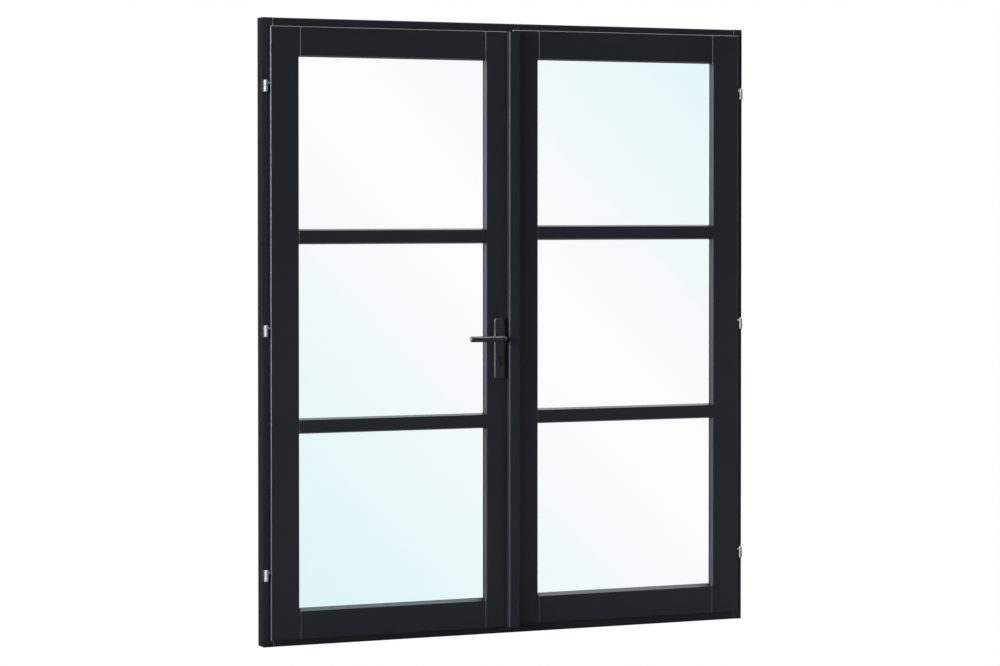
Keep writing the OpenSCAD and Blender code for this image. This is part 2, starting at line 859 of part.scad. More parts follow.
// Two screws clamp the plates together through the stile; each has a sleeve nut's head inside.
module handle_screws() {
    y0 = leaf_front - plate_t + handle_screw_sunk;
    y1 = leaf_back + plate_t - handle_screw_sunk;
    slot_w = 1.2;
    slot_deep = 1;
    color(black_colour)
        for (z = [handle_screw_low, handle_screw_high])
            difference() {
                union() {
                    through_leaf(lever_x, z, y0, y1)
                        circle(d = handle_screw_d);
                    through_leaf(lever_x, z, y0, y0 + handle_screw_head_h)
                        circle(d = handle_screw_head_d);
                    through_leaf(lever_x, z, y1 - handle_screw_head_h, y1)
                        circle(d = handle_screw_head_d);
                }
                for (y = [y0 - over, y1 - slot_deep])
                    translate([lever_x - handle_screw_head_d / 2 + 1, y, z - slot_w / 2])
                        cube([handle_screw_head_d - 2, slot_deep + over, slot_w]);
            }
}

// The outside lever: a round bar bent once, from a neck in the plate to a level grip.
module outside_lever() {
    bend_r = 14;
    tip = 1.5;
    lever_shoulder = 0.5;   // from the plate to the full round of the lever
    neck_l = lever_reach - bend_r;
    grip_l = lever_l - bend_r;
    color(black_colour)
        translate([lever_x, leaf_front, lever_z])
            difference() {
                union() {
                    translate([0, -neck_l, 0])
                        rotate([-90, 0, 0])
                            cylinder(d = lever_d, h = neck_l - plate_t - lever_shoulder);
                    translate([0, -plate_t - 1, 0])
                        rotate([-90, 0, 0])
                            cylinder(d = neck_d, h = plate_t);
                    translate([-bend_r, -neck_l, 0])
                        rotate_extrude(angle = -90)
                            translate([bend_r, 0])
                                circle(d = lever_d);
                    translate([-bend_r - grip_l + tip, -lever_reach, 0])
                        rotate([0, 90, 0])
                            cylinder(d = lever_d, h = grip_l - tip);
                    translate([-bend_r - grip_l, -lever_reach, 0])
                        rotate([0, 90, 0])
                            cylinder(d1 = lever_d - 2 * tip, d2 = lever_d, h = tip);
                }
                spindle_hole(-plate_t - spindle_grip);
            }
}

// The inside knob: short enough to stay behind the stile when seen from outside.
module inside_knob() {
    color(black_colour)
        translate([lever_x, leaf_back, lever_z])
            difference() {
                rotate([-90, 0, 0])
                    rotate_extrude()
                        polygon([
                            [0, 1], [neck_d / 2, 1], [neck_d / 2, knob_reach - knob_head],
                            [knob_d / 2 - knob_edge, knob_reach - knob_head],
                            [knob_d / 2, knob_reach - knob_head + knob_edge],
                            [knob_d / 2, knob_reach - knob_edge],
                            [knob_d / 2 - knob_edge, knob_reach], [0, knob_reach]
                        ]);
                spindle_hole(-over);
            }
}

// The square hole for the spindle, from depth y0 in the direction of +Y.
module spindle_hole(y0) {
    translate([-spindle_w / 2, y0, -spindle_w / 2])
        cube([spindle_w, plate_t + spindle_grip + over, spindle_w]);
}

module spindle() {
    y0 = leaf_front - plate_t - spindle_grip;
    y1 = leaf_back + plate_t + spindle_grip;
    color(steel_colour)
        translate([lever_x - spindle_w / 2, y0, lever_z - spindle_w / 2])
            cube([spindle_w, y1 - y0, spindle_w]);
}

// The sprung latch: a flat bolt with a slope on its nose, held out at rest.
module latch_bolt() {
    edge_x = -meeting_gap / 2;
    color(steel_colour)
        translate([0, 0, latch_z])
            linear_extrude(latch_h)
                polygon([
                    [edge_x + latch_out - latch_l, lock_y - latch_t / 2],
                    [edge_x + 2, lock_y - latch_t / 2],
                    [edge_x + latch_out, lock_y + latch_t / 2 - 3],
                    [edge_x + latch_out, lock_y + latch_t / 2],
                    [edge_x + latch_out - latch_l, lock_y + latch_t / 2]
                ]);
}

// The dead bolt, drawn back flush with the faceplate at rest.
module dead_bolt() {
    color(steel_colour)
        translate([-meeting_gap / 2 - bolt_l, lock_y - bolt_t / 2, bolt_z])
            cube([bolt_l, bolt_t, bolt_h]);
}

// Everything cut out of the right meeting stile for the strike and the flush bolts.
module strike_mortice() {
    edge_x = meeting_gap / 2;
    bottom = right_leaf_z + end_lip;
    top = right_leaf_z + leaf_h - end_lip;
    strike_plate_blank(part_gap, over);
    strike_pockets(edge_x - over, strike_pocket_deep);
    for (z = [bottom - over, top - flush_guide_h])
        translate([edge_x - over, flush_bolt_y - flush_guide_t / 2, z])
            cube([flush_guide_w + over, flush_guide_t, flush_guide_h + over]);
    for (z = [bottom - over, top - flush_bolt_l - flush_bolt_run])
        translate([flush_bolt_x, flush_bolt_y, z])
            cylinder(d = flush_bolt_d + 1, h = flush_bolt_l + flush_bolt_run + over);
}

module strike_plate_blank(grow, past) {
    translate([meeting_gap / 2 - past, lock_y - strike_w / 2 - grow, lock_case_z - strike_h / 2 - grow])
        cube([strike_t + past, strike_w + 2 * grow, strike_h + 2 * grow]);
}

// The pockets that take the latch and the dead bolt.
module strike_pockets(x0, deep) {
    side = 1.5;
    end = 2;
    translate([x0, lock_y - latch_t / 2 - side, latch_z - end])
        cube([deep, latch_t + 2 * side, latch_h + 2 * end]);
    translate([x0, lock_y - bolt_t / 2 - side, bolt_z - end])
        cube([deep, bolt_t + 2 * side, bolt_h + 2 * end]);
}

module strike_plate() {
    color(zinc_colour)
        difference() {
            strike_plate_blank(0, 0);
            strike_pockets(meeting_gap / 2 - over, strike_t + 2 * over);
            for (z = [-1, 1])
                translate([meeting_gap / 2 - over, lock_y, lock_case_z + z * (strike_h / 2 - strike_screw_inset)])
                    rotate([0, 90, 0])
                        cylinder(d = lock_screw_d, h = strike_t + 2 * over);
        }
}

// ---------- flush bolts of the right leaf ----------

// The channel let into the edge of the stile, which the bolt slides in.
module flush_bolt_guide(at_top) {
    edge_x = meeting_gap / 2;
    fit = 0.1;
    window_w = 8;
    window_h = 50;
    window_end = 40;
    z = at_top ? right_leaf_z + leaf_h - end_lip - flush_guide_h : right_leaf_z + end_lip;
    window_z = at_top ? z + window_end : z + flush_guide_h - window_end - window_h;
    color(zinc_colour)
        difference() {
            translate([edge_x, flush_bolt_y - flush_guide_t / 2 + fit, z + fit])
                cube([flush_guide_w - fit, flush_guide_t - 2 * fit, flush_guide_h - 2 * fit]);
            translate([flush_bolt_x, flush_bolt_y, z - over])
                cylinder(d = flush_bolt_d + fit, h = flush_guide_h + 2 * over);
            translate([edge_x - over, flush_bolt_y - window_w / 2, window_z])
                cube([flush_bolt_x - edge_x + over, window_w, window_h]);
        }
}

// A round bolt with a finger notch, drawn back inside the leaf at rest.
module flush_bolt(at_top) {
    bottom = right_leaf_z + end_lip;
    top = right_leaf_z + leaf_h - end_lip;
    sunk = 1;
    notch_w = 8;
    notch_deep = 3.5;
    notch_end = 55;
    z = at_top ? top - flush_bolt_l - sunk : bottom + sunk;
    notch_z = at_top ? top - flush_guide_h + notch_end : bottom + flush_guide_h - notch_end - flush_notch_h;
    color(steel_colour)
        difference() {
            translate([flush_bolt_x, flush_bolt_y, z])
                cylinder(d = flush_bolt_d, h = flush_bolt_l);
            translate([flush_bolt_x - flush_bolt_d / 2 - over, flush_bolt_y - notch_w / 2, notch_z])
                cube([notch_deep + over, notch_w, flush_notch_h]);
        }
}

// ---------- every node ----------

jamb("left");  // left_jamb
jamb("right");  // right_jamb
head_timber(true);  // head
head_timber(false);  // sill
frame_seal();
hinge_plate("left", 0);  // left_low_hinge_plate
hinge_plate("left", 1);  // left_mid_hinge_plate
hinge_plate("left", 2);  // left_high_hinge_plate
hinge_plate("right", 0);  // right_low_hinge_plate
hinge_plate("right", 1);  // right_mid_hinge_plate
hinge_plate("right", 2);  // right_high_hinge_plate
hinge_pins();
hinge_screws();
bolt_keepers();
hinge_stile("left");  // left_hinge_stile
meeting_stile("left");  // left_meeting_stile
rail("left", true);  // left_top_rail
rail("left", false);  // left_bottom_rail
bar("left", lower_bar_z);  // left_lower_bar
bar("left", upper_bar_z);  // left_upper_bar
pane("left", 0);  // left_low_pane
pane("left", 1);  // left_mid_pane
pane("left", 2);  // left_high_pane
glazing_beads("left");  // left_glazing_beads
astragal();
hinge_arm("left", 0);  // left_low_hinge_arm
hinge_arm("left", 1);  // left_mid_hinge_arm
hinge_arm("left", 2);  // left_high_hinge_arm
lock_case();
lock_faceplate();
lock_cylinder();
handle_plate(-1);  // outside_handle_plate
handle_plate(1);  // inside_handle_plate
handle_screws();
hinge_stile("right");  // right_hinge_stile
meeting_stile("right");  // right_meeting_stile
rail("right", true);  // right_top_rail
rail("right", false);  // right_bottom_rail
bar("right", lower_bar_z);  // right_lower_bar
bar("right", upper_bar_z);  // right_upper_bar
pane("right", 0);  // right_low_pane
pane("right", 1);  // right_mid_pane
pane("right", 2);  // right_high_pane
glazing_beads("right");  // right_glazing_beads
hinge_arm("right", 0);  // right_low_hinge_arm
hinge_arm("right", 1);  // right_mid_hinge_arm
hinge_arm("right", 2);  // right_high_hinge_arm
strike_plate();
flush_bolt_guide(true);  // top_bolt_guide
flush_bolt_guide(false);  // bottom_bolt_guide
outside_lever();
inside_knob();
spindle();
latch_bolt();
dead_bolt();
key_plug();
flush_bolt(true);  // top_flush_bolt
flush_bolt(false);  // bottom_flush_bolt
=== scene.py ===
# %% [markdown]
# # French doors in black painted timber
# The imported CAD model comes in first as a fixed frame: every timber, pane, hinge and lock part at its
# real size. This file then gives each piece the soft edges and the finish of the real doors. Pieces that are
# modelled anew take their place and overall size from the frame, so nothing has to be fitted afterwards.

# %% Load the frame
import math

import bmesh
import bpy
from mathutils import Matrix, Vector


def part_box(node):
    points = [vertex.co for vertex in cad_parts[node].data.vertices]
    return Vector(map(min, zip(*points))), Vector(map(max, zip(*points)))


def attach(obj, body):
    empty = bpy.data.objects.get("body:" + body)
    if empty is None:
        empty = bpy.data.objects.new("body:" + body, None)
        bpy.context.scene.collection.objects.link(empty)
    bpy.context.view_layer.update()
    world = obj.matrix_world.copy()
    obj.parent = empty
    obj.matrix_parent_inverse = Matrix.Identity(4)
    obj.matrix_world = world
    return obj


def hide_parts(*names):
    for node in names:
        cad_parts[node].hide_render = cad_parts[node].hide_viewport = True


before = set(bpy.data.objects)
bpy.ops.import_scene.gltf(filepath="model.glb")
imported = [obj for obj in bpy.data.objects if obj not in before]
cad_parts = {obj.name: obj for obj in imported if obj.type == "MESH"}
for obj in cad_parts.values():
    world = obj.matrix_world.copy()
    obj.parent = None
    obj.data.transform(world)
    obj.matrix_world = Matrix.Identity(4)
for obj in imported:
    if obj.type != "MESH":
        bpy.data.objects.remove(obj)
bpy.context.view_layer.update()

# %% [markdown]
# A few helpers are used all the way through. Blender's operators act on whatever is selected, and the
# loaded nodes arrive selected, so one helper clears the selection and picks a single object. Another
# selects edges by a test, which stands in for clicking them in edit mode. Two more set the shading: one for
# rounded parts, and one for flat boards. The last one finishes a piece: material, node and body.

# %% Helpers for selecting and finishing
MM = 0.001
LARGE_FACE_WEIGHT = 80


def pick(obj):
    """Makes obj the only selected object, and the active one."""
    bpy.ops.object.select_all(action="DESELECT")
    obj.select_set(True)
    bpy.context.view_layer.objects.active = obj


def select_edges(obj, test):
    """In edit mode, selects only the edges of obj that pass the test, and counts them."""
    bpy.ops.mesh.select_mode(type="EDGE")
    bpy.ops.mesh.select_all(action="DESELECT")
    mesh = bmesh.from_edit_mesh(obj.data)
    chosen = [edge for edge in mesh.edges if test(edge)]
    for edge in chosen:
        edge.select = True
    mesh.select_flush_mode()
    bmesh.update_edit_mesh(obj.data)
    return len(chosen)


def smooth_over(obj, degrees):
    """Smooth shading under an edge angle, with normals weighted by the larger faces."""
    pick(obj)
    bpy.ops.object.shade_smooth_by_angle(angle=math.radians(degrees))
    weighted = obj.modifiers.new("weighted normals", "WEIGHTED_NORMAL")
    weighted.keep_sharp = True
    weighted.weight = LARGE_FACE_WEIGHT
    bpy.ops.object.modifier_apply(modifier=weighted.name)


def shade_boards(obj):
    """Keeps every flat flat, and blends the selected rounds from one flat to the next."""
    # Straight after a bevel, the faces that it made are the selected ones.
    mesh = obj.data
    flats = {}
    for face in mesh.polygons:
        if not face.select:
            for vertex in face.vertices:
                flats.setdefault(vertex, []).append(face.normal.copy())
    normals = []
    for face in mesh.polygons:
        for vertex in face.vertices:
            near = flats.get(vertex, [face.normal]) if face.select else [face.normal]
            normals.append(max(near, key=face.normal.dot).copy())
    for face in mesh.polygons:
        face.use_smooth = True
    mesh.normals_split_custom_set(normals)


def finish_piece(obj, body, material, node):
    """Gives a piece its material, hides the node it stands for and puts it on its body."""
    obj.data.materials.clear()
    obj.data.materials.append(material)
    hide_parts(node)
    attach(obj, body)


# %% [markdown]
# The camera comes before the pieces, so that every render is framed the same way. It stands to the
# left of the doors at eye height, about ten metres away with a long lens, which keeps the uprights almost
# parallel. A small lens shift does the rest, as it does on an architect's camera.

# %% Camera
CAMERA_PLACE = (-4.180, -9.513, 1.460)
CAMERA_YAW = 23.58
CAMERA_DOWN = 1.11
LENS = 108.3
LENS_SHIFT = -0.065
camera_data = bpy.data.cameras.new("camera")
camera_data.lens = LENS
camera_data.sensor_width = 36.0
camera_data.shift_y = LENS_SHIFT
camera = bpy.data.objects.new("camera", camera_data)
camera.location = CAMERA_PLACE
camera.rotation_euler = (math.radians(90 - CAMERA_DOWN), 0.0, math.radians(-CAMERA_YAW))
bpy.context.scene.collection.objects.link(camera)
bpy.context.scene.camera = camera
print("camera at", CAMERA_PLACE, "lens", LENS)

# %% [markdown]
# Materials are built from nodes. Colours are written as the sRGB hex values a painter would pick, and one
# function turns them into the linear values that shaders work in. One more function adds a node: its
# keywords are the node's settings, and its dictionary holds socket values or the sockets that feed them.

# %% Colour and node helpers


def linear(hex_colour):
    """Linear RGBA of an sRGB hex colour such as #1f252c."""
    channels = [int(hex_colour[i:i + 2], 16) / 255 for i in (1, 3, 5)]
    return [c / 12.92 if c <= 0.04045 else ((c + 0.055) / 1.055) ** 2.4 for c in channels] + [1.0]


def add_node(tree, kind, sockets=None, **settings):
    """Adds one node with its settings, its socket values and its incoming links."""
    node = tree.nodes.new(kind)
    for name, value in settings.items():
        setattr(node, name, value)
    for name, value in (sockets or {}).items():
        if isinstance(value, bpy.types.NodeSocket):
            tree.links.new(value, node.inputs[name])
        else:
            node.inputs[name].default_value = value
    return node


def new_material(name):
    """An empty node material and its tree."""
    material = bpy.data.materials.new(name)
    material.use_nodes = True
    material.node_tree.nodes.clear()
    return material, material.node_tree


# %% [markdown]
# The timber is planed softwood under an opaque black paint with a satin sheen. The paint fills most of the
# grain, so what is left is a faint relief along each board, the slight stipple of a roller, and slow changes
# of tone over half a metre. Real grain lines and roller dots are 1 to 2 mm wide, too fine to show at this
# distance, so they are drawn 7 mm and 3.5 mm wide. Boards run upright or level, so the same recipe is built
# twice with the grain turned. The outer sides of the jambs, which the wall will hide, carry a dull primer
# coat, and their darker colour is painted shade.

# %% Painted timber
GRAIN_WIDTH = 7 * MM
GRAIN_LENGTH = 260 * MM
STIPPLE = 3.5 * MM
TONE_PATCH = 420 * MM
PAINT_SMOOTH = 0.34
PAINT_DULL = 0.44
# Noise values seldom leave this range.
NOISE_LOW = 0.3
NOISE_HIGH = 0.7
# How far in from the jambs' outer sides the dull primer and its painted shade start to show, and how far in
# they are full.
DULL_SHADED_SIDE_FROM = 1.2 * MM
DULL_SHADED_SIDE_FULL = 0.3 * MM
half_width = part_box("right_jamb")[1][0]


def painted_timber(name, along):
    """Satin black paint on planed timber, with the grain along the named axis."""
    material, tree = new_material(name)
    place = add_node(tree, "ShaderNodeTexCoord").outputs["Object"]
    scale = [1 / GRAIN_WIDTH] * 3
    scale["XYZ".index(along)] = 1 / GRAIN_LENGTH
    stretched = add_node(tree, "ShaderNodeMapping", {"Vector": place, "Scale": scale}).outputs["Vector"]
    grain = add_node(tree, "ShaderNodeTexNoise",
                     {"Vector": stretched, "Scale": 1.0, "Detail": 3.0, "Roughness": 0.55,
                      "Distortion": 0.4}).outputs["Fac"]
    stipple = add_node(tree, "ShaderNodeTexNoise",
                       {"Vector": place, "Scale": 1 / STIPPLE, "Detail": 2.0}).outputs["Fac"]
    patches = add_node(tree, "ShaderNodeTexNoise",
                       {"Vector": place, "Scale": 1 / TONE_PATCH, "Detail": 2.0}).outputs["Fac"]
    tone = add_node(tree, "ShaderNodeMixRGB",
                    {"Fac": patches, "Color1": linear("#10151b"), "Color2": linear("#191d25")})
    grained = add_node(tree, "ShaderNodeMixRGB",
                       {"Fac": grain, "Color1": tone.outputs["Color"], "Color2": linear("#151a21")})
    # The outer sides of the jambs get a duller finish and a darker colour, which is painted shade.
    dull = dull_and_shaded_side_mask(tree, place)
    primed_with_painted_shade = add_node(tree, "ShaderNodeMixRGB",
                      {"Fac": dull, "Color1": grained.outputs["Color"], "Color2": linear("#060a12")})
    rough = add_node(tree, "ShaderNodeMapRange",
                     {"Value": patches, "From Min": NOISE_LOW, "From Max": NOISE_HIGH,
                      "To Min": PAINT_SMOOTH, "To Max": PAINT_DULL})
    rough_all = add_node(tree, "ShaderNodeMath",
                         {0: rough.outputs["Result"], 1: dull}, operation="MAXIMUM")
    relief = add_node(tree, "ShaderNodeBump",
                      {"Height": grain, "Strength": 0.25, "Distance": 0.3 * MM}).outputs["Normal"]
    relief = add_node(tree, "ShaderNodeBump",
                      {"Height": stipple, "Strength": 0.2, "Distance": 0.15 * MM, "Normal": relief})
    paint = add_node(tree, "ShaderNodeBsdfPrincipled",
                     {"Base Color": primed_with_painted_shade.outputs["Color"], "Roughness": rough_all.outputs["Value"],
                      "Specular IOR Level": 0.4, "Normal": relief.outputs["Normal"]})
    add_node(tree, "ShaderNodeOutputMaterial", {"Surface": paint.outputs["BSDF"]})
    return material


def dull_and_shaded_side_mask(tree, place):
    """0 on the visible paint and 1 on the outer sides of the jambs, which get the dull finish and painted
    shade.
    """
    x = add_node(tree, "ShaderNodeSeparateXYZ", {"Vector": place}).outputs["X"]
    across = add_node(tree, "ShaderNodeMath", {0: x}, operation="ABSOLUTE").outputs["Value"]
    side = add_node(tree, "ShaderNodeMapRange",
                    {"Value": across, "From Min": half_width - DULL_SHADED_SIDE_FROM,
                     "From Max": half_width - DULL_SHADED_SIDE_FULL, "To Min": 0.0, "To Max": 1.0})
    return side.outputs["Result"]


timber_upright = painted_timber("satin black paint, upright grain", "Z")
timber_level = painted_timber("satin black paint, level grain", "X")
print("painted timber:", timber_upright.name, "and", timber_level.name)

# %% [markdown]
# The panes are clear float glass. It passes nearly all light, with a cool tint. A reflection of the sky is
# painted into that tint: a soft diagonal band of clear glass runs across both leaves, and the tint deepens
# on either side of it. A transparent shader carries the tint with its painted reflection, and a Fresnel mix
# adds the mirror finish. A ray leaves a pane through its far face, where the Fresnel node would turn the
# index round and mirror everything at a low angle. So the index is turned round for that face, and a pane
# looks the same from both sides.

# %% Float glass
# The middle of the clear band in the painted reflection lies where X and Z add up to this, in metres.
REFLECTION_CLEAR_BAND = 1.22
# How far from the band the painted reflection's tint is at its full depth.
PAINTED_REFLECTION_REACH = 1.9
# Float glass has 1.5. The panes are set lower, so that they mirror less of the dark side in front of them.
IOR = 1.25


def float_glass():
    """Clear float glass with a cool tint and a painted reflection: the tint deepens away from a diagonal
    band.
    """
    material, tree = new_material("clear float glass")
    place = add_node(tree, "ShaderNodeTexCoord").outputs["Object"]
    axes = add_node(tree, "ShaderNodeSeparateXYZ", {"Vector": place})
    across = add_node(tree, "ShaderNodeMath", {0: axes.outputs["X"], 1: axes.outputs["Z"]}, operation="ADD")
    offset = add_node(tree, "ShaderNodeMath",
                      {0: across.outputs["Value"], 1: REFLECTION_CLEAR_BAND}, operation="SUBTRACT")
    away = add_node(tree, "ShaderNodeMath", {0: offset.outputs["Value"]}, operation="ABSOLUTE")
    share = add_node(tree, "ShaderNodeMath", {0: away.outputs["Value"], 1: PAINTED_REFLECTION_REACH}, operation="DIVIDE")
    # The ramp paints a reflection into the tint: white along the band, and a cooler tint away from it.
    ramp = add_node(tree, "ShaderNodeValToRGB", {"Fac": share.outputs["Value"]})
    stops = ramp.color_ramp
    stops.elements[0].position = 0.0
    stops.elements[0].color = linear("#ffffff")
    stops.elements[1].position = 1.0
    stops.elements[1].color = linear("#eefbfc")
    for position, colour in ((0.24, "#fdfefe"), (0.47, "#f8fdfe")):
        stops.elements.new(position).color = linear(colour)
    tint_and_painted_reflection = add_node(tree, "ShaderNodeBsdfTransparent", {"Color": ramp.outputs["Color"]})
    mirror = add_node(tree, "ShaderNodeBsdfPrincipled",
                      {"Base Color": linear("#0d1112"), "Roughness": 0.03})
    leaving = add_node(tree, "ShaderNodeNewGeometry").outputs["Backfacing"]
    either_way = add_node(tree, "ShaderNodeMapRange", {"Value": leaving, "To Min": IOR, "To Max": 1 / IOR})
    fresnel = add_node(tree, "ShaderNodeFresnel", {"IOR": either_way.outputs["Result"]})
    pane = add_node(tree, "ShaderNodeMixShader",
                    {"Fac": fresnel.outputs["Fac"], 1: tint_and_painted_reflection.outputs["BSDF"], 2: mirror.outputs["BSDF"]})
    add_node(tree, "ShaderNodeOutputMaterial", {"Surface": pane.outputs["Shader"]})
    return material


glass = float_glass()
print("glass:", glass.name)

# %% [markdown]
# Most fittings are metal. The hinges, the lock's plates and the bolt guides are steel with a bright zinc
# plating, which is a metal with a fine cloudy roughness. The handle set has a satin black powder coat, which
# has a fine orange peel. The hinge pins, the spindle, the lock case and the bolts are plain ground steel, and
# the key cylinder is blackened. The weather seal is matt rubber. A shared recipe takes a colour, a roughness
# range, the size of its clouds and the size of its relief.

# %% Metal, powder coat and rubber


def fitting(name, colour, metallic, smooth, dull, cloud, peel):
    """A finish whose roughness drifts from smooth to dull in clouds, over a fine relief."""
    material, tree = new_material(name)
    place = add_node(tree, "ShaderNodeTexCoord").outputs["Object"]
    clouds = add_node(tree, "ShaderNodeTexNoise", {"Vector": place, "Scale": 1 / cloud, "Detail": 3.0})
    drift = add_node(tree, "ShaderNodeMapRange",
                     {"Value": clouds.outputs["Fac"], "From Min": NOISE_LOW, "From Max": NOISE_HIGH,
                      "To Min": smooth, "To Max": dull})
    fine = add_node(tree, "ShaderNodeTexNoise", {"Vector": place, "Scale": 1 / peel, "Detail": 2.0})
    relief = add_node(tree, "ShaderNodeBump",
                      {"Height": fine.outputs["Fac"], "Strength": 0.2, "Distance": 0.1 * MM})
    shader = add_node(tree, "ShaderNodeBsdfPrincipled",
                      {"Base Color": linear(colour), "Metallic": metallic,
                       "Roughness": drift.outputs["Result"], "Normal": relief.outputs["Normal"]})
    add_node(tree, "ShaderNodeOutputMaterial", {"Surface": shader.outputs["BSDF"]})
    return material


# Electroplated, then given a clear passivation that leaves faint clouds.
zinc = fitting("bright zinc plating on steel", "#b6babe", metallic=0.75, smooth=0.48, dull=0.6,
               cloud=9 * MM, peel=0.8 * MM)
# Sprayed on dry and melted in an oven, which gives the fine orange peel.
powder_coat = fitting("satin black powder coat", "#1a1f26", metallic=0.0, smooth=0.3, dull=0.38,
                      cloud=14 * MM, peel=0.9 * MM)
# Ground on a belt and left bare under a film of oil, which gives an even grey shine.
ground_steel = fitting("ground steel", "#a8abae", metallic=1.0, smooth=0.3, dull=0.4,
                       cloud=6 * MM, peel=0.5 * MM)
# Turned and milled, then darkened in a chemical bath, which leaves a dull metal shine on near black.
black_brass = fitting("blackened brass", "#2e3034", metallic=0.8, smooth=0.36, dull=0.46,
                      cloud=6 * MM, peel=0.6 * MM)
# Extruded in one length and cut to fit, with a matt skin that hardly shines.
rubber = fitting("matt rubber seal", "#131415", metallic=0.0, smooth=0.75, dull=0.85,
                 cloud=8 * MM, peel=1.2 * MM)
print("fittings:", [m.name for m in (zinc, powder_coat, ground_steel, black_brass, rubber)])

# %% [markdown]
# Each timber is machined, then its sharp edges are eased with sandpaper before painting, and the paint
# rounds them further. Those eased edges, the arrises, are what catches the light on a black door. The
# construction model has a flat on each arris, so a copy of each timber gets both edges of that flat
# bevelled into a curve. Only long edges are taken, because an edge around a screw hole stays crisp. Where
# two boards meet, the V between them is so narrow that averaged shading would smear it. So the flats keep
# their own normals, and each round blends from one flat to the next.

# %% Ease the arrises of the timbers
LONG_EDGE = 12 * MM
CORNER_ANGLE = math.radians(20)
EASING = 0.5 * MM
SMALL_ROUND_STEPS = 2
SMOOTH_UNDER = 40
WELD = 0.005 * MM
FLATNESS = math.radians(0.5)


def is_long_corner(edge):
    """True for a long edge where two faces meet at a clear angle."""
    if len(edge.link_faces) != 2 or edge.calc_length() < LONG_EDGE:
        return False
    return edge.calc_face_angle(0.0) > CORNER_ANGLE


def clean_copy(node, name):
    """A copy of a CAD node with its loose triangles merged into whole faces."""
    piece = bpy.data.objects.new(name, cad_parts[node].data.copy())
    bpy.context.scene.collection.objects.link(piece)
    pick(piece)
    bpy.ops.object.mode_set(mode="EDIT")
    bpy.ops.mesh.select_all(action="SELECT")
    bpy.ops.mesh.remove_doubles(threshold=WELD)
    bpy.ops.mesh.dissolve_limited(angle_limit=FLATNESS)
    bpy.ops.object.mode_set(mode="OBJECT")
    return piece


def round_edges(piece, test, width, segments):
    """Bevels the edges that pass the test, and says how many there were."""
    pick(piece)
    bpy.ops.object.mode_set(mode="EDIT")
    count = select_edges(piece, test)
    if count:
        bpy.ops.mesh.bevel(offset=width, segments=segments, profile=0.5, affect="EDGES",
                           clamp_overlap=False)
    bpy.ops.object.mode_set(mode="OBJECT")
    return count


def eased_copy(node, name, easing=EASING, test=is_long_corner, boards=True):
    """A clean copy of a CAD node with its long corners bevelled into small rounds."""
    piece = clean_copy(node, name)
    count = round_edges(piece, test, easing, SMALL_ROUND_STEPS)
    if boards:
        shade_boards(piece)
    else:
        smooth_over(piece, SMOOTH_UNDER)
    return piece, count


LEAF_TIMBERS = {"hinge_stile": "Z", "meeting_stile": "Z", "top_rail": "X", "bottom_rail": "X",
                "lower_bar": "X", "upper_bar": "X"}
timbers = [("left_jamb", "frame", "Z"), ("right_jamb", "frame", "Z"), ("head", "frame", "X"),
           ("sill", "frame", "X"), ("astragal", "left_leaf", "Z")]
timbers += [(f"{side}_{part}", f"{side}_leaf", along)
            for side in ("left", "right") for part, along in LEAF_TIMBERS.items()]
for node, body, along in timbers:
    # The astragal is moulded with rounded corners, so it is shaded as a rounded part.
    piece, count = eased_copy(node, f"{node}_painted", boards=node != "astragal")
    finish_piece(piece, body, timber_upright if along == "Z" else timber_level, node)
    print(piece.name, "eased on", count, "edges,", len(piece.data.polygons), "faces")

# %% [markdown]
# The beads behind the glass are slim timber strips. They are copied and eased in the same way, with a
# smaller round because they are only pinned on after painting.

# %% Glazing beads
BEAD_EASING = 0.4 * MM
for side in ("left", "right"):
    beads, count = eased_copy(f"{side}_glazing_beads", f"{side}_beads_painted", easing=BEAD_EASING)
    finish_piece(beads, f"{side}_leaf", timber_upright, f"{side}_glazing_beads")
    print(beads.name, count, "edges eased")

# %% [markdown]
# A pane is one flat sheet, cut square, with its edges hidden in the rebate and under the beads. There is no
# shape to add, so the six panes keep their construction mesh and only get the glass.

# %% Glaze the panes
for name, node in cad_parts.items():
    if name.endswith("_pane"):
        node.data.materials.clear()
        node.data.materials.append(glass)
        print(name, "glazed")

# %% [markdown]
# The fittings are copied too, with their rims softened: plated and powder coated parts never have a razor
# edge. On a barrel the rim is a ring of short edges, so the test looks at the angle alone. The rubber seal
# goes with them, since a soft edge suits it as well.

# %% Soften the fittings
STEEP = math.radians(50)
RIM = 0.35 * MM


def is_corner(edge):
    """True for any edge where two faces meet at a steep angle."""
    return len(edge.link_faces) == 2 and edge.calc_face_angle(0.0) > STEEP


FITTINGS = {
    "hinge_pins": ("frame", ground_steel, "plain_steel"),
    "bolt_keepers": ("frame", zinc, "zinc_plate"),
    "frame_seal": ("frame", rubber, "seal_rubber"),
    "lock_case": ("left_leaf", ground_steel, "plain_steel"),
    "lock_faceplate": ("left_leaf", zinc, "zinc_plate"),
    "lock_cylinder": ("left_leaf", black_brass, "nickel_cylinder"),
    "inside_handle_plate": ("left_leaf", powder_coat, "black_handle"),
    "handle_screws": ("left_leaf", powder_coat, "black_handle"),
    "strike_plate": ("right_leaf", zinc, "zinc_plate"),
    "top_bolt_guide": ("right_leaf", zinc, "zinc_plate"),
    "bottom_bolt_guide": ("right_leaf", zinc, "zinc_plate"),
    "spindle": ("lever_set", ground_steel, "plain_steel"),
    "latch_bolt": ("latch", ground_steel, "plain_steel"),
    "dead_bolt": ("dead_bolt", ground_steel, "plain_steel"),
    "key_plug": ("key_plug", black_brass, "nickel_cylinder"),
    "top_flush_bolt": ("top_flush_bolt", ground_steel, "plain_steel"),
    "bottom_flush_bolt": ("bottom_flush_bolt", ground_steel, "plain_steel"),
}
for node, (body, material, slot) in FITTINGS.items():
    piece, count = eased_copy(node, f"{node}_finished", easing=RIM, test=is_corner, boards=False)
    finish_piece(piece, body, material, node)
print(len(FITTINGS), "fittings softened")

